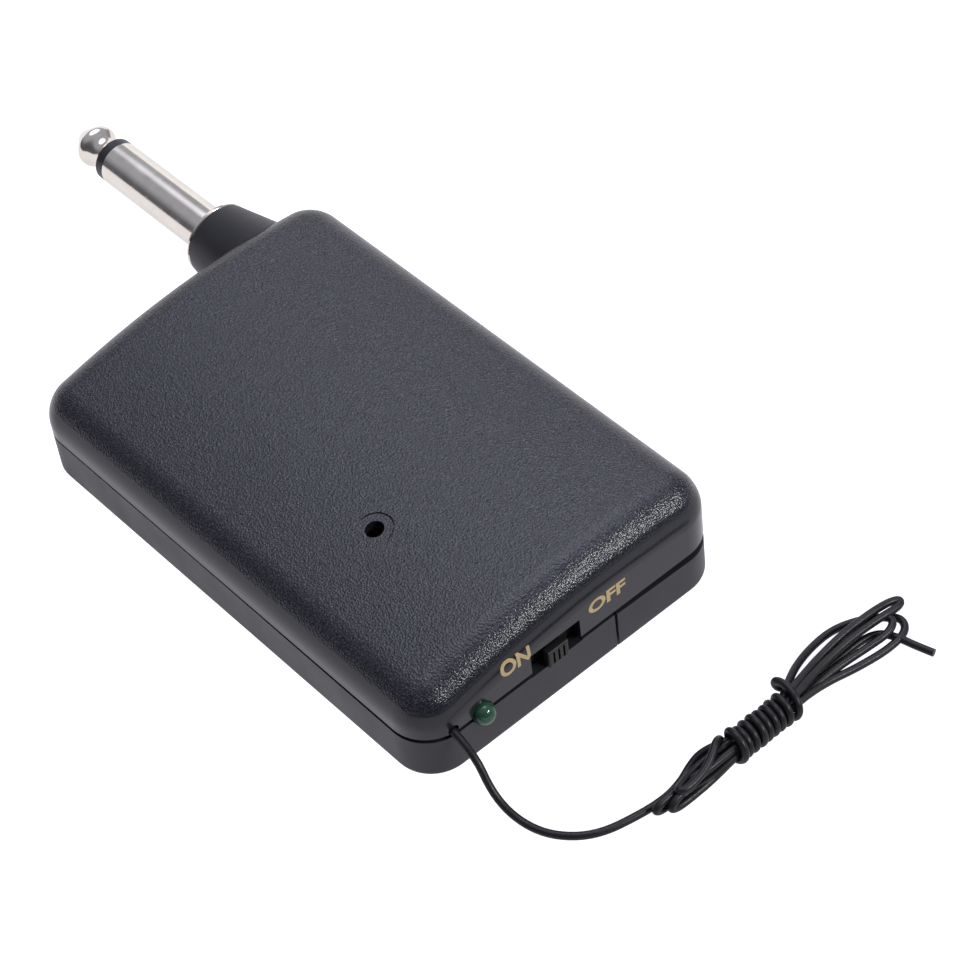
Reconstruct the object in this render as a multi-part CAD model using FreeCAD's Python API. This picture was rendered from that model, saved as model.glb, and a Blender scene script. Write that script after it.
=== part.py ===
"""Wireless guitar transmitter: a flat two-shell case that plugs into a guitar.

The case lies flat.  +Z is up, the phone plug points along +Y, and the end with the switch,
the lamp and the antenna faces -Y.  The origin is the centre of the case's flat bottom.
All sizes are in millimetres.
"""
import FreeCAD, Part

import math
import os

Vector = FreeCAD.Vector
os.makedirs("parts", exist_ok=True)

# ---- case ---------------------------------------------------------------------------------
case_length = 76.5
case_width = 47.4
crest_height = 16.85      # top of the arched roof, above the bottom
crest_x = 8.9             # the arch is highest over the battery, not over the middle
roof_radius = 113.6       # of the arch, seen from the front
corner_radius = 5.3       # upright corners
edge_radius = 5.0         # rounded edge all round the roof
foot_radius = 1.0         # rounded edge all round the bottom
wall = 1.5
roof = 1.2
floor = 1.1
seam_height = 6.87        # parting line between the two shells
seam_gap = 0.3
seam_opening = 0.32       # the gap is this much wider at the front, and narrows backwards
seam_taper = 42.0         # length over which it narrows
lip_inset = 0.85          # locating lip on the bottom shell
lip_width = 0.6
lip_height = 1.0
fit_gap = 0.1
half_x = case_width / 2
half_y = case_length / 2
lower_rim = seam_height - seam_gap / 2
upper_rim = seam_height + seam_gap / 2

# ---- battery bay --------------------------------------------------------------------------
cell_radius = 7.1         # AA cell
cell_can_length = 49.2
cell_nub_radius = 2.75
cell_nub_length = 1.3
cell_x = 13.4
cell_z = floor + 0.1 + cell_radius
cell_front = -34.1        # shoulder of the can, at the nub end
door_x = 6.05             # left edge of the door
door_back = 19.6          # back edge of the door
door_drop = 0.5           # the door sits this much lower than the shell's rim
door_sag = 0.55           # and this much more at its outer side
door_gap = 0.4
plate_thickness = 0.4
spring_plate_y = 20.1

# ---- plug ---------------------------------------------------------------------------------
plug_x = 12.7
plug_z = 9.0
sleeve_radius = 3.175     # 6.35 mm phone plug
sleeve_length = 21.9
tip_ring_length = 1.6
tip_length = 7.1
flange_radius = 5.2
flange_thickness = 0.5
boss_length = 7.4
boss_base_radius = 6.6
boss_face_radius = 5.25
boss_neck_radius = 5.2
boss_flange_radius = 5.7  # inside the case
shank_radius = 3.0
rod_radius = 1.1
rod_tube_radius = 2.0

# ---- switch, lamp, antenna and trimmer ----------------------------------------------------
notch_left = -6.95
notch_right = 0.75
notch_top = 10.05
knob_x = -3.1             # knob at rest, in the OFF position
knob_width = 3.1
knob_low = 6.3
knob_high = 8.9
knob_reach = 0.5          # how far the knob stands out of the front
switch_travel = 2.0
lamp_x = -14.7
lamp_radius = 1.45
antenna_x = -19.0
antenna_z = 7.4           # the antenna's hole is just above the parting line
wire_diameter = 1.0
trimmer_x = -9.4
trimmer_y = -14.1
trimmer_hole_radius = 1.2

# ---- circuit board ------------------------------------------------------------------------
board_left = -21.6
board_right = 3.9
board_front = -34.4
board_back = 27.6
board_z = 4.4
board_thickness = 1.2
board_top = board_z + board_thickness
case_posts = ((-19.4, -27.5), (-19.4, 31.5), (19.6, 29.4))
board_posts = ((1.3, -24.0), (-19.2, 22.0), (1.3, 22.0))


def box(low, high):
    """Block between two opposite corners."""
    size = [b - a for a, b in zip(low, high)]
    return Part.makeBox(size[0], size[1], size[2], Vector(*low))


def rod_along_y(radius, start, end, x, z):
    return Part.makeCylinder(radius, end - start, Vector(x, start, z), Vector(0, 1, 0))


def rod_along_z(radius, start, end, x, y):
    return Part.makeCylinder(radius, end - start, Vector(x, y, start), Vector(0, 0, 1))


def turned(profile, x, z):
    """Solid of revolution about a line along Y; profile is a closed list of (y, radius)."""
    points = [Vector(x + radius, y, z) for y, radius in profile]
    face = Part.Face(Part.makePolygon(points + points[:1]))
    return face.revolve(Vector(x, 0, z), Vector(0, 1, 0), 360)


def roof_z(x):
    """Outer face of the arched roof at x."""
    return crest_height - roof_radius + math.sqrt(roof_radius ** 2 - (x - crest_x) ** 2)


def outline_prism(inset, low, high):
    """The case's outline, moved inwards by inset, raised from low to high."""
    x = half_x - inset
    y = half_y - inset
    prism = box((-x, -y, low), (x, y, high))
    uprights = [e for e in prism.Edges if abs(e.Vertexes[0].Z - e.Vertexes[-1].Z) > (high - low) / 2]
    return prism.makeFillet(corner_radius - inset, uprights)


def case_form(inset, roof_inset, low):
    """Rounded outline under the arched roof, with the roof's edge rounded over."""
    radius = roof_radius - roof_inset
    centre_z = crest_height - roof_radius
    under_arch = rod_along_y(radius, -half_y - 5, half_y + 5, crest_x, centre_z)
    form = outline_prism(inset, low, crest_height + 1).common(under_arch)
    roof_faces = [f for f in form.Faces if isinstance(f.Surface, Part.Cylinder)
                  and abs(f.Surface.Radius - radius) < 0.01]
    rounding = edge_radius - inset
    return form.makeFillet(rounding, roof_faces[0].OuterWire.Edges)


def tube(name, points, diameter):
    """Round wire along straight runs joined by tangent arcs as large as the runs allow."""
    points = [Vector(*p) for p in points]
    edges = []
    radii = []
    start = points[0]
    for before, corner, after in zip(points, points[1:], points[2:]):
        incoming = (corner - before).normalize()
        outgoing = (after - corner).normalize()
        turn = incoming.getAngle(outgoing)
        reach = 0.45 * min((corner - before).Length, (after - corner).Length)
        radii.append(reach / math.tan(turn / 2))
        enter = corner - incoming * reach
        leave = corner + outgoing * reach
        inwards = (outgoing - incoming).normalize()
        middle = corner + inwards * (radii[-1] / math.cos(turn / 2) - radii[-1])
        edges.append(Part.LineSegment(start, enter).toShape())
        edges.append(Part.Arc(enter, middle, leave).toShape())
        start = leave
    edges.append(Part.LineSegment(start, points[-1]).toShape())
    path = Part.Wire(edges)
    circle = Part.Circle(points[0], points[1] - points[0], diameter / 2)
    section = Part.Wire([circle.toShape()])
    solid = path.makePipeShell([section], True, False)
    expected = math.pi * diameter ** 2 / 4 * path.Length
    print("%s: length %.1f, volume %.4f of section times length, radii %s"
          % (name, path.Length, solid.Volume / expected, [round(r, 1) for r in radii]))
    return solid


def fused(shapes):
    first, *others = shapes
    return first.fuse(others).removeSplitter() if others else first


def save(node, shape):
    """Write one node, after making sure that every solid in it is sound."""
    assert shape.isValid() and shape.Solids, node
    solids = shape.Solids
    shape = solids[0] if len(solids) == 1 else Part.makeCompound(solids)
    shape.exportStep("parts/" + node + ".step")
    bounds = shape.BoundBox
    print("%-26s %d solid(s)  %8.1f mm3  x %.1f..%.1f  y %.1f..%.1f  z %.1f..%.1f" % (
        node, len(solids), shape.Volume, bounds.XMin, bounds.XMax, bounds.YMin, bounds.YMax,
        bounds.ZMin, bounds.ZMax))
    return shape


# ---- shells and door ----------------------------------------------------------------------
def front_openings():
    """What is cut through the front end of both shells: lamp hole and antenna hole."""
    lamp = rod_along_y(lamp_radius + fit_gap, -half_y - 3, -half_y + 4, lamp_x, seam_height)
    antenna = rod_along_y(wire_diameter / 2 + 0.22, -half_y - 3, -half_y + 4, antenna_x, antenna_z)
    return [lamp, antenna]


def plug_opening():
    return rod_along_y(boss_neck_radius + 0.05, half_y - 4, half_y + 2, plug_x, plug_z)


def top_shell():
    hollow = case_form(wall, roof, upper_rim - 3)
    shell = case_form(0, 0, upper_rim).cut(hollow)
    room = case_form(wall - 0.2, roof - 0.2, upper_rim - 3)
    partition = box((door_x - 1.1, -half_y, upper_rim + 0.4), (door_x - 0.1, spring_plate_y + 1.7, 20))
    cross_rib = box((door_x - 1.1, spring_plate_y + plate_thickness, upper_rim + 0.4),
                    (half_x, spring_plate_y + 1.7, 20))
    ribs = partition.fuse(cross_rib)
    posts = [rod_along_z(2.3, seam_height + 0.5, 20, x, y) for x, y in case_posts]
    shell = shell.fuse([ribs.common(room)] + [post.common(room) for post in posts])
    pilots = [rod_along_z(1.1, seam_height - 1, seam_height + 4.2, x, y) for x, y in case_posts]
    rebate = outline_prism(lip_inset - fit_gap, upper_rim - 1, upper_rim + lip_height + 0.1)
    rebate = rebate.cut(outline_prism(lip_inset + lip_width + fit_gap, upper_rim - 2, upper_rim + 3))
    notch = box((notch_left, -half_y - 3, 0), (notch_right, -half_y + 2.4, notch_top))
    hole = rod_along_z(trimmer_hole_radius, 10, 20, trimmer_x, trimmer_y)
    witness = rod_along_z(2.45, roof_z(trimmer_x) - 0.08, 20, trimmer_x, trimmer_y)
    witness = witness.cut(rod_along_z(2.25, 10, 21, trimmer_x, trimmer_y))
    return shell.cut(pilots + [rebate, notch, hole, witness, plug_opening()] + front_openings())


def lower_form(low_inset=0.0):
    """Lower half of the case's outer form, with its bottom edge rounded."""
    prism = outline_prism(0, low_inset, lower_rim)
    edges = [e for e in prism.Edges if e.BoundBox.ZMax < low_inset + 0.01]
    return prism.makeFillet(foot_radius, edges)


def door_bay(gap):
    """Space that the door fills, made smaller by gap."""
    return box((door_x + gap, -half_y - 5, -1), (half_x + 5, door_back - gap, lower_rim + 5))


def bottom_shell():
    hollow = outline_prism(wall, floor, lower_rim + 1)
    opening = box((-half_x - 1, -half_y - 1, lower_rim), (half_x + 1, seam_taper - half_y, lower_rim + 3))
    opening.rotate(Vector(0, seam_taper - half_y, lower_rim), Vector(1, 0, 0),
                   math.degrees(math.atan(seam_opening / seam_taper)))
    shell = lower_form().cut([hollow, opening])
    lip = outline_prism(lip_inset, lower_rim - 1.5, upper_rim + lip_height)
    lip = lip.cut(outline_prism(lip_inset + lip_width, lower_rim - 3, upper_rim + lip_height + 1))
    posts = [rod_along_z(2.4, floor - 0.3, seam_height + 0.45, x, y) for x, y in case_posts]
    posts += [rod_along_z(2.1, floor - 0.3, board_z, x, y) for x, y in board_posts]
    shell = shell.fuse([lip] + posts).removeSplitter()
    clearances = [rod_along_z(1.4, -1, seam_height + 2, x, y) for x, y in case_posts]
    heads = [rod_along_z(2.3, -1, 1.6, x, y) for x, y in case_posts]
    sinks = [Part.makeCone(2.3, 1.4, 0.9, Vector(x, y, 1.6)) for x, y in case_posts]
    pilots = [rod_along_z(0.85, floor + 0.4, board_z + 1, x, y) for x, y in board_posts]
    notch = box((notch_left - 0.15, -half_y - 3, lower_rim - 0.45),
                (notch_right + 0.15, -half_y + 2.4, notch_top))
    ledges = [box((door_x - 2.7, y - 3.2, 0.5), (door_x + 1, y + 3.2, floor + 0.2)) for y in tongue_places]
    return shell.cut([door_bay(0)] + clearances + heads + sinks + pilots + [notch, plug_opening()]
                     + ledges + front_openings())


tongue_places = (-26.0, 10.0)


def battery_door():
    """Corner of the lower half that slides out sideways: floor, front wall and side wall."""
    door = lower_form().cut(outline_prism(wall, floor, lower_rim + 1)).common(door_bay(door_gap))
    above = box((0, -half_y - 5, lower_rim - door_drop), (half_x + 5, half_y, 20))
    above.rotate(Vector(door_x, 0, lower_rim - door_drop), Vector(0, 1, 0),
                 math.degrees(math.atan(door_sag / (half_x - door_x))))
    door = door.cut(above)
    tongues = [box((door_x - 2.4, y - 3, 0.55), (door_x + 1, y + 3, floor - 0.1)) for y in tongue_places]
    grips = [box((door_x + 5 + 1.6 * step, -6, -1), (door_x + 5.8 + 1.6 * step, 6, 0.35))
             for step in range(4)]
    return fused([door] + tongues).cut(grips)


# ---- plug ---------------------------------------------------------------------------------
boss_face = half_y + boss_length
sleeve_start = boss_face + flange_thickness
sleeve_end = sleeve_start + sleeve_length
ring_end = sleeve_end + tip_ring_length
nut_y = 31.0


def plug_boss():
    """Moulded collar: a flange inside the case, a neck in its wall and a cone outside."""
    back = nut_y + 2.6
    flange = turned([(back, shank_radius), (back, boss_flange_radius), (half_y - 1, boss_flange_radius),
                     (half_y - 1, shank_radius)], plug_x, plug_z)
    flange = flange.common(case_form(wall + 0.15, roof + 0.15, 0.5))
    neck = turned([(back, shank_radius), (back, boss_neck_radius), (half_y + 1, boss_neck_radius),
                   (half_y + 1, shank_radius)], plug_x, plug_z)
    slope = (boss_base_radius - boss_face_radius) / (boss_length - 0.3)
    rim = [(boss_face - 0.3 + 0.3 * math.sin(a), boss_face_radius - 0.3 + 0.3 * math.cos(a))
           for a in (0, math.radians(30), math.radians(60), math.radians(90))]
    cone = turned([(half_y - 4, shank_radius), (half_y - 4, boss_base_radius + 4 * slope)] + rim
                  + [(boss_face, shank_radius)], plug_x, plug_z)
    cone = cone.cut([case_form(-0.03, -0.03, seam_height - 1), outline_prism(-0.03, -1, seam_height)])
    return fused([flange, neck, cone])


def plug_sleeve():
    profile = [(nut_y - 0.8, rod_tube_radius), (nut_y - 0.8, shank_radius), (boss_face, shank_radius),
               (boss_face, flange_radius - 0.12), (boss_face + 0.12, flange_radius),
               (sleeve_start - 0.12, flange_radius), (sleeve_start, flange_radius - 0.12),
               (sleeve_start, sleeve_radius), (sleeve_end, sleeve_radius), (sleeve_end, rod_tube_radius)]
    return turned(profile, plug_x, plug_z)


def plug_insulators():
    ring = [(sleeve_end, rod_radius), (sleeve_end, sleeve_radius - 0.03),
            (ring_end - 0.12, sleeve_radius - 0.05), (ring_end, sleeve_radius - 0.2), (ring_end, rod_radius)]
    pipe = [(nut_y - 2, rod_radius), (nut_y - 2, rod_tube_radius), (sleeve_end, rod_tube_radius),
            (sleeve_end, rod_radius)]
    return turned(ring, plug_x, plug_z), turned(pipe, plug_x, plug_z)


def plug_tip():
    """Rod and turned tip: shoulder, waist, ball and blunt cone."""
    rod_back = nut_y - 3.2
    shoulder = [(ring_end, 2.55), (ring_end + 0.35, 2.35)]
    outline = Part.BSplineCurve()
    outline.interpolate([Vector(plug_x + r, ring_end + y, plug_z) for y, r in (
        (0.35, 2.35), (1.05, 2.1), (1.85, 2.06), (2.55, 2.38), (3.15, 2.84), (3.75, 3.0), (4.4, 2.84))])
    before = [Vector(plug_x, rod_back, plug_z), Vector(plug_x + rod_radius, rod_back, plug_z),
              Vector(plug_x + rod_radius, ring_end, plug_z)]
    before += [Vector(plug_x + r, y, plug_z) for y, r in shoulder]
    nose = [Vector(plug_x + r, ring_end + y, plug_z) for y, r in (
        (4.4, 2.84), (6.5, 1.3), (6.85, 0.95), (7.03, 0.52), (tip_length, 0))]
    edges = Part.makePolygon(before).Edges + [outline.toShape()] + Part.makePolygon(nose + before[:1]).Edges
    face = Part.Face(Part.Wire(edges))
    return face.revolve(Vector(plug_x, 0, plug_z), Vector(0, 1, 0), 360)


def plug_nut():
    corners = [Vector(plug_x + 4.4 * math.cos(math.radians(60 * k)), nut_y,
                      plug_z + 4.4 * math.sin(math.radians(60 * k))) for k in range(7)]
    block = Part.Face(Part.makePolygon(corners)).extrude(Vector(0, 2.2, 0))
    return block.cut(rod_along_y(shank_radius, nut_y - 1, nut_y + 4, plug_x, plug_z))


def ring_washer(start, thickness, inner, outer):
    return rod_along_y(outer, start, start + thickness, plug_x, plug_z).cut(
        rod_along_y(inner, start - 1, start + thickness + 1, plug_x, plug_z))


def solder_lug(start, inner, outer, tail):
    """Flat ring with a tail that a wire is soldered to, pointing to -X."""
    plate = ring_washer(start, 0.3, inner, outer)
    tongue = box((plug_x - outer - tail, start, plug_z - 0.9), (plug_x - inner - 0.4, start + 0.3, plug_z + 0.9))
    eye = rod_along_y(0.45, start - 1, start + 1, plug_x - outer - tail + 1, plug_z)
    return fused([plate, tongue.cut(rod_along_y(inner, start - 1, start + 1, plug_x, plug_z))]).cut(eye)


# ---- switch -------------------------------------------------------------------------------
switch_x = knob_x - switch_travel / 2
switch_z = 8.1
shield_y = -36.5          # front of the sliding shield behind the wall
frame_y = -35.8           # front of the sheet-metal frame
base_y = -33.1
frame_half = 4.8


def switch_frame():
    """Sheet-metal channel with a slot in front, and two feet on the board."""
    can = box((switch_x - frame_half, frame_y, switch_z - 2.2), (switch_x + frame_half, base_y, switch_z + 2.2))
    can = can.cut(box((switch_x - frame_half + 0.3, frame_y + 0.3, switch_z - 1.9),
                      (switch_x + frame_half - 0.3, base_y + 1, switch_z + 1.9)))
    slot_half = (knob_width + switch_travel) / 2 + 0.15
    slot = box((switch_x - slot_half, frame_y - 1, switch_z - 1.3), (switch_x + slot_half, frame_y + 0.5, switch_z + 1.3))
    feet = [box((switch_x + side - 0.15, frame_y + 1.4, board_top), (switch_x + side + 0.15, frame_y + 2.6, switch_z - 2))
            for side in (-frame_half + 0.15, frame_half - 0.15)]
    return fused([can.cut(slot)] + feet)


def switch_base():
    return box((switch_x - frame_half, base_y, switch_z - 2.2), (switch_x + frame_half, base_y + 1.2, switch_z + 2.2))


def switch_terminals():
    """Three bent pins from the back of the base, down through the board."""
    pins = []
    for offset in (-2.5, 0, 2.5):
        back = box((switch_x + offset - 0.3, base_y + 1.2, switch_z - 1), (switch_x + offset + 0.3, base_y + 2.2, switch_z - 0.6))
        down = box((switch_x + offset - 0.3, base_y + 1.8, board_z - 0.8), (switch_x + offset + 0.3, base_y + 2.2, switch_z - 0.6))
        pins.append(fused([back, down]))
    return Part.makeCompound(pins)


def switch_knob():
    """Ribbed thumb piece, its stem, a dust shield behind the wall and the slider in the frame."""
    face_y = -half_y - knob_reach
    left = knob_x - knob_width / 2
    right = knob_x + knob_width / 2
    thumb = box((left, face_y, knob_low), (right, face_y + 1.0, knob_high))
    outer = [e for e in thumb.Edges if e.BoundBox.YMax < face_y + 0.01]
    thumb = thumb.makeFillet(0.25, outer)
    pitch = knob_width / 4
    grooves = [box((left + pitch * k - 0.15, face_y - 1, knob_low + 0.35), (left + pitch * k + 0.15, face_y + 0.3, knob_high - 0.35))
               for k in (1, 2, 3)]
    shield = box((knob_x - 5.0, shield_y, knob_low - 0.2), (knob_x + 6.1, shield_y + 0.5, knob_high + 0.3))
    stem = box((left + 0.5, face_y + 0.8, switch_z - 1.2), (right - 0.5, frame_y + 0.8, switch_z + 0.6))
    slider = box((knob_x - 1.6, frame_y + 0.45, switch_z - 1.75), (knob_x + 2.6, base_y - 0.9, switch_z + 1.75))
    return fused([thumb.cut(grooves), shield, stem, slider])


def switch_contact():
    """Spring strip on the back of the slider, with two domed fingers."""
    strip = box((knob_x - 1.4, base_y - 0.9, switch_z - 0.9), (knob_x + 2.4, base_y - 0.7, switch_z + 0.9))
    fingers = [Part.makeSphere(0.45, Vector(knob_x + dx, base_y - 0.7, switch_z)) for dx in (-0.6, 1.6)]
    return fused([strip] + fingers).cut(box((-20, base_y - 2, 0), (20, base_y - 0.9, 20)))


# ---- lamp ---------------------------------------------------------------------------------
def lamp_lens():
    dome_y = -half_y - 0.2
    body = rod_along_y(lamp_radius, dome_y, -35.3, lamp_x, seam_height)
    rim = rod_along_y(lamp_radius + 0.25, -36.0, -35.3, lamp_x, seam_height)
    return fused([body, rim, Part.makeSphere(lamp_radius, Vector(lamp_x, dome_y, seam_height))])


def lamp_leads():
    leads = []
    for side in (-0.64, 0.64):
        x = lamp_x + side
        route = [(x, -35.3, seam_height), (x, -30.5, seam_height), (x, -30.5, board_z - 0.8)]
        leads.append(tube("lamp_lead", route, 0.5))
    return Part.makeCompound(leads)


# ---- board and what is on it --------------------------------------------------------------
def circuit_board():
    board = box((board_left, board_front, board_z), (board_right, board_back, board_top))
    lamp_room = box((lamp_x - 2.2, board_front - 1, 0), (lamp_x + 2.2, -31.6, 9))
    post_room = rod_along_z(2.8, 0, 9, *case_posts[0])
    corner_room = box((board_left - 1, board_front - 1, 0), (antenna_x + 1.4, case_posts[0][1], 9))
    holes = [rod_along_z(1.0, 0, 9, x, y) for x, y in board_posts]
    lead_holes = [rod_along_z(0.3, 0, 9, lamp_x + side, -30.5) for side in (-0.64, 0.64)]
    pin_holes = [box((switch_x + k - 0.35, base_y + 1.75, 0), (switch_x + k + 0.35, base_y + 2.25, 9))
                 for k in (-2.5, 0, 2.5)]
    return board.cut([lamp_room, post_room, corner_room] + holes + lead_holes + pin_holes)


def pan_screw(x, y, under_head, head_radius, head_height, shank, length, upwards):
    """Screw with a slotted head; upwards says which way its shank points."""
    direction = 1 if upwards else -1
    shank_solid = Part.makeCylinder(shank, length, Vector(x, y, under_head), Vector(0, 0, direction))
    head = Part.makeCylinder(head_radius, head_height, Vector(x, y, under_head), Vector(0, 0, -direction))
    top = under_head - direction * head_height
    half_depth = 0.45 * head_height
    slots = [box((x - 0.25, y - head_radius * 0.7, top - half_depth), (x + 0.25, y + head_radius * 0.7, top + half_depth)),
             box((x - head_radius * 0.7, y - 0.25, top - half_depth), (x + head_radius * 0.7, y + 0.25, top + half_depth))]
    return fused([head.cut(slots), shank_solid])


def case_screws():
    """Three self-tapping screws, put in from underneath."""
    screws = []
    for x, y in case_posts:
        head = Part.makeCone(2.2, 1.1, 0.95, Vector(x, y, 1.55)).fuse(rod_along_z(2.2, 1.15, 1.55, x, y))
        cross = [box((x - 1.3, y - 0.22, 0), (x + 1.3, y + 0.22, 1.75)), box((x - 0.22, y - 1.3, 0), (x + 0.22, y + 1.3, 1.75))]
        screws.append(fused([head.cut(cross), rod_along_z(1.1, 1.75, seam_height + 3.7, x, y)]))
    return Part.makeCompound(screws)


def board_screws():
    return Part.makeCompound([pan_screw(x, y, board_top, 1.7, 1.1, 0.85, board_top - floor - 0.6, False)
                              for x, y in board_posts])


def trimmer():
    """Round trimmer body with a cup, and the slotted rotor that turns in it."""
    body = rod_along_z(3.2, board_top, 9.4, trimmer_x, trimmer_y)
    body = body.cut([rod_along_z(2.1, 7.8, 10, trimmer_x, trimmer_y), rod_along_z(0.8, 6.4, 10, trimmer_x, trimmer_y)])
    rotor = fused([rod_along_z(2.05, 7.9, 9.0, trimmer_x, trimmer_y), rod_along_z(0.75, 6.5, 8.5, trimmer_x, trimmer_y)])
    slot = box((trimmer_x - 0.3, trimmer_y - 1.5, 8.5), (trimmer_x + 0.3, trimmer_y + 1.5, 10))
    return body, rotor.cut(slot)


def transistors():
    """Moulded three-leg transistors with one flat side."""
    parts = []
    for x, y in ((-14.5, -4.5), (-3.4, -14.5), (-12.5, 14.5)):
        body = rod_along_z(2.3, board_top + 2, board_top + 6.8, x, y)
        body = body.cut(box((x - 3, y + 1.3, 0), (x + 3, y + 3, 20)))
        legs = [box((x + k - 0.22, y - 0.2, board_top), (x + k + 0.22, y + 0.2, board_top + 2)) for k in (-1.27, 0, 1.27)]
        parts.append(fused([body] + legs))
    return Part.makeCompound(parts)


def electrolytic_capacitors():
    cans = []
    for x, y, height in ((-0.8, 4.5, 7.0), (-16.4, 6.0, 5.0), (-4.5, 16.0, 7.0)):
        can = rod_along_z(2.5, board_top, board_top + height, x, y)
        groove = rod_along_z(3.0, board_top + height - 1.4, board_top + height - 1.1, x, y).cut(
            rod_along_z(2.35, board_top + height - 2, board_top + height, x, y))
        cans.append(can.cut(groove))
    return Part.makeCompound(cans)


def ceramic_capacitors():
    """Small discs standing on two legs."""
    discs = []
    for x, y in ((-18.5, -14.0), (-18.5, -20.0), (-9.0, -24.5), (-10.0, 3.0), (-17.5, 15.5)):
        disc = rod_along_y(1.9, y - 0.55, y + 0.55, x, board_top + 3.2)
        edges = [e for e in disc.Edges if isinstance(e.Curve, Part.Circle)]
        legs = [rod_along_z(0.25, board_top, board_top + 2.2, x + k, y) for k in (-1.2, 1.2)]
        discs.append(fused([disc.makeFillet(0.4, edges)] + legs))
    return Part.makeCompound(discs)


def resistors():
    """Axial resistors lying on the board, each with its two bent leads."""
    parts = []
    for x, y in ((-1.5, -4.5), (-7.0, -1.5), (-7.5, 8.5), (-12.5, 20.5), (-4.5, 24.8), (-12.5, 25.0)):
        z = board_top + 1.15
        body = Part.makeCylinder(0.95, 5.2, Vector(x - 2.6, y, z), Vector(1, 0, 0))
        ends = [Part.makeCylinder(1.1, 1.1, Vector(x + k, y, z), Vector(1, 0, 0)) for k in (-2.8, 1.7)]
        wire = Part.makeCylinder(0.25, 8.0, Vector(x - 4.0, y, z), Vector(1, 0, 0))
        legs = [rod_along_z(0.25, board_top, z + 0.2, x + k, y) for k in (-3.8, 3.8)]
        parts.append(fused([body, wire] + ends + legs))
    return Part.makeCompound(parts)


def coil(x, y, turns, radius, wire):
    """Air-wound coil lying along X."""
    pitch = wire * 1.25
    height = pitch * turns
    helix = Part.makeHelix(pitch, height, radius)
    section = Part.Wire([Part.Circle(Vector(radius, 0, 0), Vector(0, 1, 0), wire / 2).toShape()])
    solid = Part.Wire(helix.Edges).makePipeShell([section], True, True)
    solid.rotate(Vector(0, 0, 0), Vector(0, 1, 0), 90)
    solid.translate(Vector(x - height / 2, y, board_top + radius + wire / 2))
    return solid


# ---- battery ------------------------------------------------------------------------------
def battery_cell():
    can = rod_along_y(cell_radius, cell_front, cell_front + cell_can_length, cell_x, cell_z)
    ends = [e for e in can.Edges if isinstance(e.Curve, Part.Circle)]
    can = can.makeFillet(0.5, ends)
    nub = rod_along_y(cell_nub_radius, cell_front - cell_nub_length, cell_front + 1, cell_x, cell_z)
    return fused([can, nub])


def battery_spring():
    """Conical contact spring behind the cell."""
    cell_back = cell_front + cell_can_length
    length = spring_plate_y - cell_back
    wire = 0.7
    helix = Part.makeHelix(1.15, length - 1.2, 4.2, -18)
    section = Part.Wire([Part.Circle(Vector(4.2, 0, 0), Vector(0, 1, 0), wire / 2).toShape()])
    spring = Part.Wire(helix.Edges).makePipeShell([section], True, True)
    spring.rotate(Vector(0, 0, 0), Vector(1, 0, 0), 90)
    spring.translate(Vector(cell_x, spring_plate_y - 0.5, cell_z))
    return spring


def battery_plates():
    """Spring plate at the back and contact plate at the front, each with a solder tail."""
    back = box((cell_x - 6, spring_plate_y, 3), (cell_x + 6, spring_plate_y + plate_thickness, 13.6))
    front_face = cell_front - cell_nub_length - plate_thickness
    front = box((cell_x - 4.5, front_face, 3), (cell_x + 4.5, front_face + plate_thickness, 13.6))
    return Part.makeCompound([back, front])


# ---- wires --------------------------------------------------------------------------------
def hookup_wires():
    lug_x = plug_x - 4.4 - 1.4
    pad = board_top + 2.6
    routes = (
        [(lug_x, nut_y - 2.75, plug_z), (lug_x, nut_y - 5.2, plug_z), (2.8, nut_y - 7.0, plug_z + 1.0),
         (1.0, 26.3, pad), (1.0, 26.3, board_top)],
        [(lug_x, nut_y - 0.35, plug_z), (lug_x, nut_y - 1.8, plug_z), (2.0, nut_y - 2.2, plug_z + 1.6),
         (-2.0, 27.4, plug_z + 0.8), (-6.6, 22.4, pad), (-6.6, 22.4, board_top)],
        [(antenna_x, -36.1, antenna_z), (antenna_x, -33.6, antenna_z + 0.1),
         (antenna_x + 1.2, -30.8, antenna_z + 1.1), (antenna_x + 4.4, -28.9, pad),
         (antenna_x + 4.4, -28.9, board_top)],
    )
    return Part.makeCompound([tube("hookup_wire", route, 0.9) for route in routes])


# ---- antenna ------------------------------------------------------------------------------
# The wire leaves the front of the case, bends down to the surface, sweeps round to the right
# and is folded into a hank that its own last turns bind round the middle.
lead_route = (
    (antenna_x, -36.3, antenna_z), (-19.2, -41.6, 7.0), (-19.8, -45.2, 2.3), (-19.4, -49.2, 0.56),
    (-18.0, -53.4, 0.56), (-14.4, -56.8, 0.56), (-8.6, -58.2, 0.6),
)
tail_route = ((30.4, -62.9, 0.56), (30.8, -64.3, 0.56), (31.3, -66.0, 0.56))
hank_left = -8.6
hank_right = 35.0


def rounded_block(low, high, radius):
    block = box(low, high)
    return block.makeFillet(radius, block.Edges)


def antenna_hank():
    """Outer shape of the folded hank: a bunch, the binding turns and a fan of loops."""
    bunch = rounded_block((hank_left, -61.9, 0.03), (4.8, -56.4, 3.8), 1.6)
    binding = Part.makeCylinder(2.2, 12.4, Vector(2.8, -59.8, 2.23), Vector(1, 0, 0))
    fan = rounded_block((13.6, -63.0, 0.03), (hank_right, -53.8, 3.4), 1.5)
    return fused([bunch, binding, fan])


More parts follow.
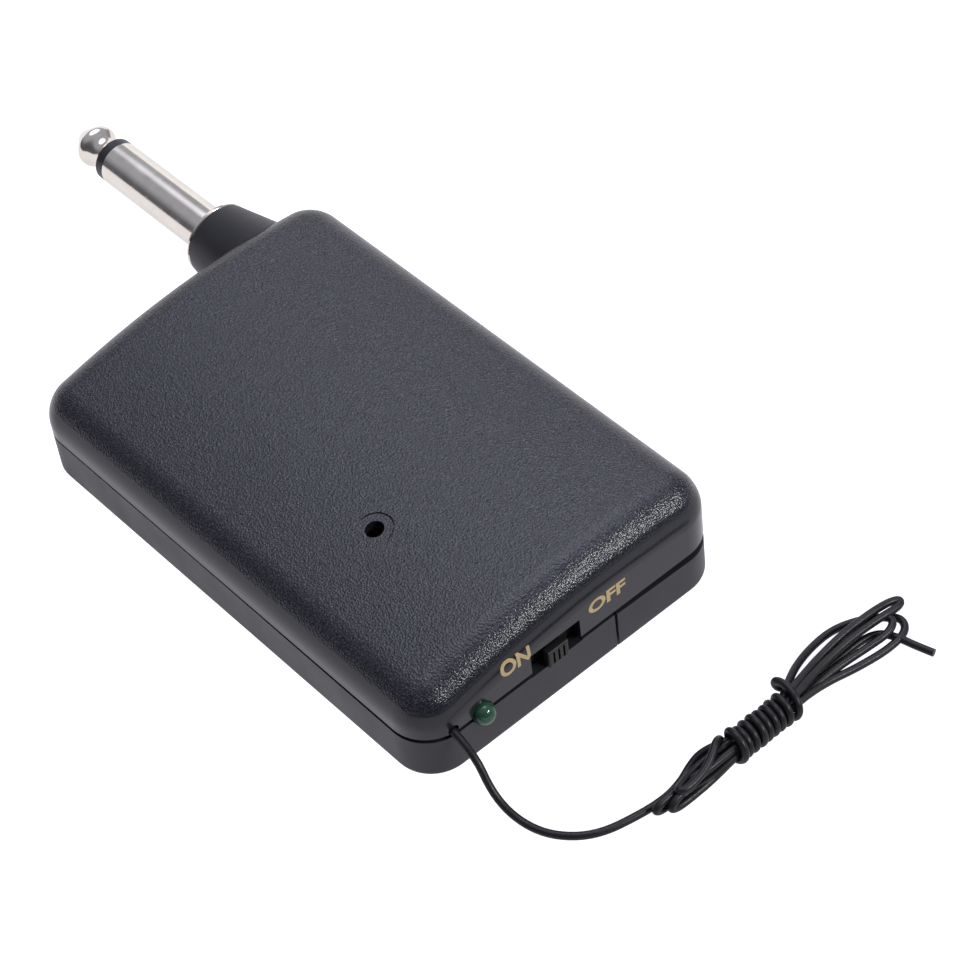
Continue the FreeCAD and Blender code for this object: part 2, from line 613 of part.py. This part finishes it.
def build():
    ring, pipe = plug_insulators()
    trimmer_body, trimmer_rotor = trimmer()
    nodes = {
        "top_shell": top_shell(),
        "bottom_shell": bottom_shell(),
        "battery_door": battery_door(),
        "case_screws": case_screws(),
        "plug_boss": plug_boss(),
        "plug_sleeve": plug_sleeve(),
        "plug_tip_ring": ring,
        "plug_rod_tube": pipe,
        "plug_tip": plug_tip(),
        "plug_nut": plug_nut(),
        "plug_washer": ring_washer(nut_y + 2.2, 0.4, shank_radius, 4.9),
        "sleeve_lug": solder_lug(nut_y - 0.3, shank_radius, 4.4, 3.0),
        "tip_lug": solder_lug(nut_y - 2.7, rod_radius, 2.9, 4.5),
        "switch_frame": switch_frame(),
        "switch_base": switch_base(),
        "switch_terminals": switch_terminals(),
        "switch_knob": switch_knob(),
        "switch_contact": switch_contact(),
        "lamp_lens": lamp_lens(),
        "lamp_leads": lamp_leads(),
        "circuit_board": circuit_board(),
        "board_screws": board_screws(),
        "trimmer_body": trimmer_body,
        "trimmer_rotor": trimmer_rotor,
        "transistors": transistors(),
        "electrolytic_capacitors": electrolytic_capacitors(),
        "ceramic_capacitors": ceramic_capacitors(),
        "resistors": resistors(),
        "tank_coil": coil(-3.2, -8.6, 6, 2.0, 0.6),
        "antenna_coil": coil(-14.0, -22.0, 4, 1.8, 0.6),
        "battery_cell": battery_cell(),
        "battery_spring": battery_spring(),
        "battery_plates": battery_plates(),
        "hookup_wires": hookup_wires(),
        "antenna_lead": tube("antenna_lead", lead_route, wire_diameter),
        "antenna_tail": tube("antenna_tail", tail_route, wire_diameter),
        "antenna_hank": antenna_hank(),
    }
    return {name: save(name, shape) for name, shape in nodes.items()}


build()
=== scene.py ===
"""Wireless guitar transmitter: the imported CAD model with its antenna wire, legends and finishes.

Lengths are in millimetres and are turned into metres where Blender needs them.
"""
import math
import random

import bmesh
import bpy
from mathutils import Matrix, Vector
from mathutils.bvhtree import BVHTree


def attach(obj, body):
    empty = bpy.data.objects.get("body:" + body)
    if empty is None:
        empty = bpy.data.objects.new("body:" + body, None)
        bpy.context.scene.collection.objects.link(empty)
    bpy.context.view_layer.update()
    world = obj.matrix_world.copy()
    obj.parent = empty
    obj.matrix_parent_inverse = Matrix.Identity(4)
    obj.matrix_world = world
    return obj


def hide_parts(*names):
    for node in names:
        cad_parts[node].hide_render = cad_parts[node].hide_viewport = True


MM = 0.001

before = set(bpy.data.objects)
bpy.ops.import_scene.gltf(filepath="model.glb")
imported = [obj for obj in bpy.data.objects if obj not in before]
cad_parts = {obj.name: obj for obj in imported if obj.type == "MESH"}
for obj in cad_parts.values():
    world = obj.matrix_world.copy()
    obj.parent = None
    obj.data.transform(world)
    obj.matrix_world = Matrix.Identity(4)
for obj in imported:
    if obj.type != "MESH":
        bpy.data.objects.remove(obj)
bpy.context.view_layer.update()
scene = bpy.context.scene

# ---- camera -------------------------------------------------------------------------------
view_azimuth = math.radians(-35.54)
view_elevation = math.radians(46.97)
view_roll = math.radians(-7.99)
view_distance = 370.95
view_target = Vector((8.47, -11.66, 8.0))
lens_length = 113.52


def make_camera():
    """Camera that looks at the view target from the given angles."""
    back = Vector((math.sin(view_azimuth) * math.cos(view_elevation),
                   -math.cos(view_azimuth) * math.cos(view_elevation),
                   math.sin(view_elevation)))
    level = Vector((math.cos(view_azimuth), math.sin(view_azimuth), 0))
    above = back.cross(level)
    right = level * math.cos(view_roll) + above * math.sin(view_roll)
    up = above * math.cos(view_roll) - level * math.sin(view_roll)
    data = bpy.data.cameras.new("camera")
    data.lens = lens_length
    data.sensor_width = 36
    data.clip_start = 0.01
    data.clip_end = 20
    camera = bpy.data.objects.new("camera", data)
    place = (view_target + back * view_distance) * MM
    camera.matrix_world = Matrix.LocRotScale(place, Matrix((right, up, back)).transposed(), None)
    scene.collection.objects.link(camera)
    scene.camera = camera


make_camera()

# ---- antenna wire -------------------------------------------------------------------------
wire_diameter = 1.0

# From inside the case out of its hole, down to the surface and round to the hank.
lead_route = [
    (-19.0, -36.3, 7.4), (-19.2, -41.6, 7.0), (-19.8, -45.2, 2.3), (-19.4, -49.2, 0.56),
    (-18.0, -53.4, 0.56), (-14.4, -56.8, 0.56), (-8.6, -58.2, 0.6),
]
# Six runs through the binding, folded at three loops on the right and three on the left.
strand_routes = [
    # out to the widest loop on the right
    (-5.2, -58.5, 0.6), (-2.6, -58.1, 0.7), (-0.8, -57.5, 1.0), (1.0, -57.3, 1.6),
    (2.8, -58.0, 2.2), (5.4, -59.2, 2.6), (9.5, -59.3, 2.5), (13.2, -59.0, 2.7),
    (15.4, -57.5, 2.3), (18.4, -55.9, 1.4), (22.0, -54.9, 0.8), (25.5, -54.7, 0.55),
    (28.6, -55.8, 0.55), (31.2, -57.6, 0.55), (32.6, -59.4, 0.6), (31.4, -61.2, 0.6),
    (28.0, -61.5, 0.55), (23.4, -60.8, 0.55), (19.4, -60.0, 0.9), (15.4, -60.1, 1.7),
    (12.6, -60.5, 2.0), (6.0, -60.5, 2.0),
    # first loop on the left, on edge
    (3.2, -60.5, 1.6), (0.4, -60.3, 0.8), (-2.6, -59.9, 0.56), (-5.6, -59.5, 0.56),
    (-7.3, -59.4, 0.7), (-7.9, -59.4, 1.35), (-7.3, -59.5, 2.0), (-5.4, -59.4, 2.1), (-2.6, -59.1, 1.8),
    (0.4, -59.2, 1.3),
    (4.0, -59.5, 1.3), (9.5, -59.6, 1.3),
    # middle loop on the right
    (14.5, -59.8, 1.4), (18.0, -59.5, 1.2), (22.0, -59.5, 1.2), (26.3, -60.0, 1.3),
    (29.4, -60.4, 1.6), (31.2, -59.4, 1.7), (30.2, -57.8, 1.6), (26.8, -57.0, 1.3),
    (22.5, -56.7, 1.2), (18.6, -57.3, 1.3), (15.6, -58.6, 1.5), (12.5, -59.6, 1.4),
    (6.5, -60.1, 1.2),
    # second loop on the left, on edge in front of the first
    (3.4, -60.3, 1.1), (0.2, -60.4, 0.56), (-3.0, -60.5, 0.56), (-5.4, -60.5, 0.65),
    (-6.6, -60.5, 1.4), (-5.6, -60.4, 2.2), (-3.0, -60.1, 2.4), (0.0, -59.9, 2.1),
    (3.0, -60.1, 2.4), (5.4, -60.3, 2.8), (9.5, -60.2, 2.9),
    # narrow loop on the right
    (13.6, -59.9, 2.9), (17.6, -59.0, 2.6), (21.6, -58.4, 2.3), (26.0, -58.2, 2.3),
    (30.2, -58.4, 2.1), (33.0, -58.6, 1.8), (33.9, -57.9, 1.7), (32.6, -57.3, 1.9),
    (29.4, -57.2, 2.4), (25.0, -57.1, 2.4), (20.6, -57.5, 2.3), (16.6, -58.4, 2.7),
    (13.2, -59.2, 2.9), (6.5, -59.5, 2.9),
    # last loop on the left, back over the others to where the binding starts
    (3.2, -59.0, 2.4), (1.0, -58.4, 1.8), (-1.4, -58.6, 1.6), (-3.8, -59.4, 2.3),
    (-4.9, -60.0, 2.8), (-4.2, -60.6, 2.9), (-2.2, -60.5, 2.9), (-0.2, -60.0, 3.0),
    (1.4, -59.3, 3.4), (2.6, -58.6, 3.6),
]
# Out of the binding along the surface, under the loops, to the cut end.
tail_route = [
    (16.2, -58.2, 1.0), (18.6, -58.2, 0.56), (22.4, -58.4, 0.56), (26.4, -58.2, 0.56),
    (29.0, -58.9, 0.56), (30.1, -61.0, 0.56), (30.6, -63.4, 0.56), (31.3, -65.7, 0.56),
]
binding_start = 3.8
binding_pitch = 1.06
binding_turns = 8
binding_radius = 1.6
first_turn_extra = 0.35   # the first turn is this much wider
binding_y = -59.8
points_per_turn = 12


def binding_points():
    """Turns side by side round the runs, hand wound and uneven, from the back downwards."""
    chance = random.Random(4)
    points = []
    for turn in range(binding_turns):
        shift = chance.uniform(-0.06, 0.06)
        radius = binding_radius + chance.uniform(-0.1, 0.1) + first_turn_extra * (turn == 0)
        for step in range(points_per_turn):
            part = step / points_per_turn
            angle = math.radians(10) - 2 * math.pi * part
            points.append((binding_start + binding_pitch * (turn + part) + shift * math.sin(math.pi * part),
                           binding_y + radius * math.cos(angle),
                           wire_diameter / 2 + radius * (1 + math.sin(angle))))
    return points


# The last turn stands clear of the runs at the back, and leaves as the tail underneath.
loose_turn = [
    (12.6, -58.0, 1.7), (12.7, -58.5, 0.8), (12.8, -59.8, 0.54), (12.9, -60.9, 0.8), (13.0, -61.5, 1.7),
    (13.2, -61.5, 2.8), (13.5, -60.6, 3.8), (13.8, -59.3, 4.0), (13.9, -58.0, 3.9), (13.8, -57.0, 3.5),
    (13.8, -56.8, 2.7), (14.2, -57.2, 1.8),
]


def make_antenna():
    """The whole wire as one curve, from its hole to its cut end."""
    points = lead_route + strand_routes + binding_points() + loose_turn + tail_route
    curve = bpy.data.curves.new("antenna_wire", "CURVE")
    curve.dimensions = "3D"
    spline = curve.splines.new("NURBS")
    spline.points.add(len(points) - 1)
    for point, place in zip(spline.points, points):
        point.co = (place[0] * MM, place[1] * MM, place[2] * MM, 1)
        point.radius = wire_diameter / 2 * MM
    spline.order_u = 3
    spline.use_endpoint_u = True
    spline.resolution_u = 6
    curve.bevel_depth = 1
    curve.bevel_resolution = 5
    curve.use_fill_caps = True
    wire = bpy.data.objects.new("antenna_wire", curve)
    scene.collection.objects.link(wire)
    return wire


antenna_wire = make_antenna()
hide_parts("antenna_lead", "antenna_hank", "antenna_tail")
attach(antenna_wire, "root")

# ---- switch legends -----------------------------------------------------------------------
legend_relief = 0.02      # how far the print stands off the shell
legend_rows = 0.25        # height of the strips that let a letter follow the curve
legend_weight = 0.035
legend_start = -60        # y in front of the case, from where the letters are laid on it


def make_legend(name, word, low, high):
    """Printed word between two (x, z) corners, laid on the front of the top shell."""
    curve = bpy.data.curves.new(name, "FONT")
    curve.body = word
    curve.offset = legend_weight
    holder = bpy.data.objects.new(name, curve)
    mesh = bpy.data.meshes.new_from_object(holder)
    bpy.data.objects.remove(holder)
    letters = bmesh.new()
    letters.from_mesh(mesh)
    left = min(v.co.x for v in letters.verts)
    bottom = min(v.co.y for v in letters.verts)
    across = (high[0] - low[0]) / (max(v.co.x for v in letters.verts) - left)
    upward = (high[1] - low[1]) / (max(v.co.y for v in letters.verts) - bottom)
    for vertex in letters.verts:
        x = low[0] + (vertex.co.x - left) * across
        z = low[1] + (vertex.co.y - bottom) * upward
        vertex.co = Vector((x, legend_start, z)) * MM
    for row in range(1, int((high[1] - low[1]) / legend_rows) + 1):
        everything = letters.verts[:] + letters.edges[:] + letters.faces[:]
        bmesh.ops.bisect_plane(letters, geom=everything, plane_co=(0, 0, (low[1] + row * legend_rows) * MM),
                               plane_no=(0, 0, 1))
    shell = bpy.data.objects["top_shell"]
    surface = BVHTree.FromPolygons([shell.matrix_world @ v.co for v in shell.data.vertices],
                                   [p.vertices[:] for p in shell.data.polygons])
    for vertex in letters.verts:
        place, normal, _, _ = surface.ray_cast(vertex.co, Vector((0, 1, 0)))
        vertex.co = place + normal * legend_relief * MM
    letters.to_mesh(mesh)
    letters.free()
    mesh.materials.clear()
    legend = bpy.data.objects.new(name, mesh)
    scene.collection.objects.link(legend)
    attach(legend, "root")
    return legend


legends = [
    make_legend("legend_on", "ON", (-11.35, 9.75), (-6.85, 12.05)),
    make_legend("legend_off", "OFF", (2.25, 9.4), (8.1, 11.55)),
]


# ---- materials ----------------------------------------------------------------------------
class Finish:
    """A Principled material and short calls that add nodes to it."""

    def __init__(self, name, colour, roughness, metallic=0.0, specular=0.5):
        self.material = bpy.data.materials.new(name)
        self.material.use_nodes = True
        self.nodes = self.material.node_tree.nodes
        self.links = self.material.node_tree.links
        self.shader = self.nodes["Principled BSDF"]
        self.shader.inputs["Base Color"].default_value = (*colour, 1)
        self.shader.inputs["Roughness"].default_value = roughness
        self.shader.inputs["Metallic"].default_value = metallic
        self.shader.inputs["Specular IOR Level"].default_value = specular
        self.place = self.nodes.new("ShaderNodeTexCoord").outputs["Object"]

    def noise(self, scale, detail=3, roughness=0.5, stretch=None):
        """Noise with this many features per millimetre."""
        place = self.place
        if stretch:
            mapping = self.nodes.new("ShaderNodeMapping")
            mapping.inputs["Scale"].default_value = stretch
            self.links.new(place, mapping.inputs["Vector"])
            place = mapping.outputs["Vector"]
        node = self.nodes.new("ShaderNodeTexNoise")
        node.inputs["Scale"].default_value = scale / MM
        node.inputs["Detail"].default_value = detail
        node.inputs["Roughness"].default_value = roughness
        self.links.new(place, node.inputs["Vector"])
        return node.outputs["Fac"]

    def cells(self, scale):
        """Distance from the middles of this many cells per millimetre."""
        node = self.nodes.new("ShaderNodeTexVoronoi")
        node.inputs["Scale"].default_value = scale / MM
        self.links.new(self.place, node.inputs["Vector"])
        return node.outputs["Distance"]

    def ramp(self, factor, stops):
        """Colours (or greys) spread over a factor; stops are (position, colour)."""
        node = self.nodes.new("ShaderNodeValToRGB")
        while len(node.color_ramp.elements) < len(stops):
            node.color_ramp.elements.new(0.5)
        for element, (position, colour) in zip(node.color_ramp.elements, stops):
            element.position = position
            element.color = (*colour, 1) if isinstance(colour, tuple) else (colour, colour, colour, 1)
        self.links.new(factor, node.inputs["Fac"])
        return node.outputs["Color"]

    def maths(self, operation, a, b):
        node = self.nodes.new("ShaderNodeMath")
        node.operation = operation
        for socket, value in zip(node.inputs, (a, b)):
            if isinstance(value, (int, float)):
                socket.default_value = value
            else:
                self.links.new(value, socket)
        return node.outputs["Value"]

    def colour(self, socket):
        self.links.new(socket, self.shader.inputs["Base Color"])

    def vary_roughness(self, factor, low, high):
        self.links.new(self.ramp(factor, [(0.3, low), (0.7, high)]), self.shader.inputs["Roughness"])

    def bump(self, height, depth, strength=1.0):
        """Relief of this depth in millimetres."""
        node = self.nodes.new("ShaderNodeBump")
        node.inputs["Strength"].default_value = strength
        node.inputs["Distance"].default_value = depth * MM
        self.links.new(height, node.inputs["Height"])
        self.links.new(node.outputs["Normal"], self.shader.inputs["Normal"])


def grained_plastic(name, tint, grain_depth):
    """Black moulding, pebbled like fine leather where it faces up and smooth on its walls, with painted
    glints in the colour of its pebbles.
    """
    finish = Finish(name, tint, 0.3, specular=0.5)
    pebbles = finish.cells(3.5)
    fine = finish.noise(5.5, detail=3, roughness=0.6)
    height = finish.maths("ADD", finish.maths("MULTIPLY", pebbles, 0.8),
                          finish.maths("MULTIPLY", fine, 0.7))
    facing = finish.nodes.new("ShaderNodeSeparateXYZ")
    finish.links.new(finish.nodes.new("ShaderNodeTexCoord").outputs["Normal"], facing.inputs["Vector"])
    etched = finish.ramp(facing.outputs["Z"], [(0.48, 0.06), (0.66, 1.0)])
    finish.bump(finish.maths("MULTIPLY", height, etched), grain_depth)
    # Painted glints: where the moulding faces up, its colour follows the grain from a tenth of the
    # plastic's up to over four times it, standing in for sparkling reflections on the pebbles.
    grain_and_painted_glint = finish.maths("ADD", finish.maths("MULTIPLY", finish.maths("SUBTRACT", fine, 0.5), etched), 0.5)
    shades = [tuple(c * k for c in tint) for k in (0.1, 0.8, 4.2)]
    finish.colour(finish.ramp(grain_and_painted_glint, [(0.36, shades[0]), (0.5, shades[1]), (0.66, shades[2])]))
    finish.vary_roughness(fine, 0.14, 0.22)
    return finish.material


def smooth_plastic(name, tint, roughness, ripple=0.01, specular=0.45):
    """Black moulding with a very faint ripple and slightly uneven sheen."""
    finish = Finish(name, tint, roughness, specular=specular)
    fine = finish.noise(9.0, detail=3)
    finish.bump(fine, ripple)
    broad = finish.noise(0.15, detail=3)
    shades = [tuple(c * k for c in tint) for k in (0.88, 1.1)]
    finish.colour(finish.ramp(broad, [(0.3, shades[0]), (0.7, shades[1])]))
    finish.vary_roughness(broad, roughness - 0.05, roughness + 0.06)
    return finish.material


def plated(name, tint, roughness):
    """Plated metal with fine turning marks round its axis and faint staining."""
    finish = Finish(name, tint, roughness, metallic=1.0)
    turning = finish.noise(14.0, detail=2, stretch=(0.05, 1.0, 0.05))
    finish.bump(turning, 0.0015, 0.5)
    stain = finish.noise(0.35, detail=4, roughness=0.6)
    finish.colour(finish.ramp(stain, [(0.3, tuple(c * 0.9 for c in tint)), (0.65, tint)]))
    finish.vary_roughness(stain, roughness * 0.8, roughness * 1.5)
    return finish.material


def coloured(name, tint, roughness, depth=0.01, scale=2.0):
    """Plain small-part finish with a slight mottle."""
    finish = Finish(name, tint, roughness)
    mottle = finish.noise(scale, detail=4, roughness=0.6)
    finish.bump(mottle, depth)
    shades = [tuple(min(1, c * k) for c in tint) for k in (0.82, 1.12)]
    finish.colour(finish.ramp(mottle, [(0.3, shades[0]), (0.7, shades[1])]))
    finish.vary_roughness(mottle, roughness * 0.85, min(1, roughness * 1.2))
    return finish.material


def lamp_resin():
    """Clear green resin with a slight cloud in it."""
    finish = Finish("lamp_resin", (0.03, 0.2, 0.09), 0.12, specular=0.5)
    finish.shader.inputs["Transmission Weight"].default_value = 0.7
    finish.shader.inputs["IOR"].default_value = 1.53
    cloud = finish.noise(0.9, detail=2)
    finish.colour(finish.ramp(cloud, [(0.3, (0.03, 0.15, 0.075)), (0.7, (0.06, 0.25, 0.13))]))
    finish.bump(cloud, 0.002)
    return finish.material


def wire_cover():
    """Soft glossy insulation, with faint drawing marks."""
    finish = Finish("wire_cover", (0.008, 0.008, 0.009), 0.4, specular=0.35)
    fine = finish.noise(3.0, detail=3)
    finish.bump(fine, 0.012)
    finish.vary_roughness(fine, 0.34, 0.5)
    broad = finish.noise(0.4)
    finish.colour(finish.ramp(broad, [(0.3, (0.006, 0.006, 0.007)), (0.7, (0.010, 0.010, 0.011))]))
    return finish.material


case_black = grained_plastic("case_black", (0.0135, 0.0143, 0.019), 0.064)
lower_black = smooth_plastic("lower_black", (0.015, 0.016, 0.0195), 0.42)
boss_black = smooth_plastic("boss_black", (0.010, 0.0105, 0.0135), 0.42, specular=0.36)
knob_black = smooth_plastic("knob_black", (0.012, 0.012, 0.012), 0.45, specular=0.3)
nickel = plated("nickel", (0.85, 0.80, 0.71), 0.13)
legend_gold = coloured("legend_gold", (0.48, 0.36, 0.18), 0.45)
insulator = smooth_plastic("insulator", (0.02, 0.02, 0.022), 0.35)
sheet_metal = plated("sheet_metal", (0.6, 0.59, 0.57), 0.32)
resin_green = lamp_resin()
phenolic = coloured("phenolic", (0.32, 0.17, 0.07), 0.5)
laminate = coloured("laminate", (0.30, 0.22, 0.08), 0.45, scale=1.0)
epoxy = coloured("epoxy", (0.025, 0.025, 0.027), 0.4)
sleeve_blue = coloured("sleeve_blue", (0.02, 0.05, 0.2), 0.3, scale=0.8)
ceramic = coloured("ceramic", (0.5, 0.2, 0.04), 0.3)
lacquer = coloured("lacquer", (0.6, 0.42, 0.22), 0.35)
trimmer_cream = coloured("trimmer_cream", (0.7, 0.64, 0.48), 0.4)
copper = plated("copper", (0.72, 0.33, 0.17), 0.25)
jacket = coloured("jacket", (0.05, 0.055, 0.065), 0.3, scale=0.4)
wire_black = wire_cover()
wire_red = coloured("wire_red", (0.4, 0.02, 0.02), 0.4)

node_finishes = {
    "top_shell": case_black,
    "bottom_shell": lower_black,
    "battery_door": lower_black,
    "case_screws": sheet_metal,
    "plug_boss": boss_black,
    "plug_sleeve": nickel,
    "plug_tip_ring": insulator,
    "plug_rod_tube": insulator,
    "plug_tip": nickel,
    "plug_nut": sheet_metal,
    "plug_washer": sheet_metal,
    "sleeve_lug": sheet_metal,
    "tip_lug": sheet_metal,
    "switch_frame": sheet_metal,
    "switch_base": phenolic,
    "switch_terminals": sheet_metal,
    "switch_knob": knob_black,
    "switch_contact": sheet_metal,
    "lamp_lens": resin_green,
    "lamp_leads": sheet_metal,
    "circuit_board": laminate,
    "board_screws": sheet_metal,
    "trimmer_body": trimmer_cream,
    "trimmer_rotor": sheet_metal,
    "transistors": epoxy,
    "electrolytic_capacitors": sleeve_blue,
    "ceramic_capacitors": ceramic,
    "resistors": lacquer,
    "tank_coil": copper,
    "antenna_coil": copper,
    "battery_cell": jacket,
    "battery_spring": nickel,
    "battery_plates": nickel,
    "hookup_wires": wire_red,
}


def finish_nodes():
    """Give each CAD node its finish, in the slots that it already has."""
    for name, material in node_finishes.items():
        for slot in bpy.data.objects[name].material_slots:
            slot.material = material


finish_nodes()
antenna_wire.data.materials.append(wire_black)
for printed in legends:
    printed.data.materials.append(legend_gold)


# ---- floor, background and lights ---------------------------------------------------------
floor_half = 3.0          # metres
fade_length = 15          # over which the floor's glow grows, towards the back
fade_start = 3.0          # this many fade lengths in front of the origin


def make_floor(glow, near_glow, lift):
    """Large pale sheet lit from below, less so in front of the case.

    lift is how much brighter the camera sees it than the object does.
    """
    corners = [(x * floor_half, y * floor_half, 0) for x, y in ((-1, -1), (1, -1), (1, 1), (-1, 1))]
    mesh = bpy.data.meshes.new("floor")
    mesh.from_pydata(corners, [], [(0, 1, 2, 3)])
    floor = bpy.data.objects.new("floor", mesh)
    scene.collection.objects.link(floor)
    paper = Finish("paper", (0.2, 0.2, 0.2), 0.9, specular=0.0)
    paper.colour(paper.ramp(paper.noise(0.02), [(0.3, 0.19), (0.7, 0.21)]))
    paper.shader.inputs["Emission Color"].default_value = (1.0, 0.98, 1.05, 1)
    seen = paper.nodes.new("ShaderNodeLightPath").outputs["Is Camera Ray"]
    along = paper.nodes.new("ShaderNodeSeparateXYZ")
    paper.links.new(paper.place, along.inputs["Vector"])
    behind_front = paper.maths("MULTIPLY_ADD", along.outputs["Y"], 1 / (fade_length * MM))
    behind_front.node.inputs[2].default_value = fade_start
    behind_front.node.use_clamp = True
    lit = paper.maths("ADD", paper.maths("MULTIPLY", behind_front, glow - near_glow), near_glow)
    strength = paper.maths("ADD", paper.maths("MULTIPLY", seen, lift), lit)
    paper.links.new(strength, paper.shader.inputs["Emission Strength"])
    mesh.materials.append(paper.material)


def make_softbox(name, direction, distance, size, radiance, tint=(1, 1, 1)):
    """Rectangular lamp that faces the object from this direction."""
    data = bpy.data.lights.new(name, "AREA")
    data.shape = "RECTANGLE"
    data.size = size[0]
    data.size_y = size[1]
    data.energy = radiance * math.pi * size[0] * size[1]
    data.color = tint
    towards = Vector(direction).normalized()
    light = bpy.data.objects.new(name, data)
    light.location = towards * distance
    light.rotation_mode = "QUATERNION"
    light.rotation_quaternion = (-towards).to_track_quat("-Z", "Y")
    scene.collection.objects.link(light)


sky_tint = (0.91, 0.93, 1.09)


def make_world(towards, sky):
    """White behind the floor, and a room that brightens towards one large soft light."""
    world = bpy.data.worlds.new("studio")
    world.use_nodes = True
    nodes = world.node_tree.nodes
    links = world.node_tree.links
    place = nodes.new("ShaderNodeTexCoord")
    facing = nodes.new("ShaderNodeVectorMath")
    facing.operation = "DOT_PRODUCT"
    facing.inputs[1].default_value = Vector(towards).normalized()
    links.new(place.outputs["Generated"], facing.inputs[0])
    ramp = nodes.new("ShaderNodeValToRGB")
    while len(ramp.color_ramp.elements) < len(sky):
        ramp.color_ramp.elements.new(0.5)
    for element, (position, grey) in zip(ramp.color_ramp.elements, sky):
        element.position = position
        element.color = (*(grey * c for c in sky_tint), 1)
    links.new(facing.outputs["Value"], ramp.inputs["Fac"])
    path = nodes.new("ShaderNodeLightPath")
    room = nodes["Background"]
    links.new(ramp.outputs["Color"], room.inputs["Color"])
    white = nodes.new("ShaderNodeBackground")
    white.inputs["Color"].default_value = (1, 1, 1, 1)
    mix = nodes.new("ShaderNodeMixShader")
    links.new(path.outputs["Is Camera Ray"], mix.inputs["Fac"])
    links.new(room.outputs["Background"], mix.inputs[1])
    links.new(white.outputs["Background"], mix.inputs[2])
    links.new(mix.outputs["Shader"], nodes["World Output"].inputs["Surface"])
    scene.world = world


make_floor(0.78, 0.58, 0.5)
make_world((0.30, 0.28, 0.91), [(0.0, 0.10), (0.25, 0.14), (0.5, 0.34), (0.62, 0.42),
                                 (0.87, 0.42), (0.91, 1.1), (0.95, 2.5), (1.0, 3.4)])
make_softbox("front_strip", (0.36, -0.725, 0.585), 1.0, (0.42, 0.025), 180.0)
make_softbox("back_softbox", (0.50, 0.85, 0.17), 1.2, (2.0, 0.42), 0.75, (1.0, 0.97, 0.94))
scene.view_settings.view_transform = "Standard"
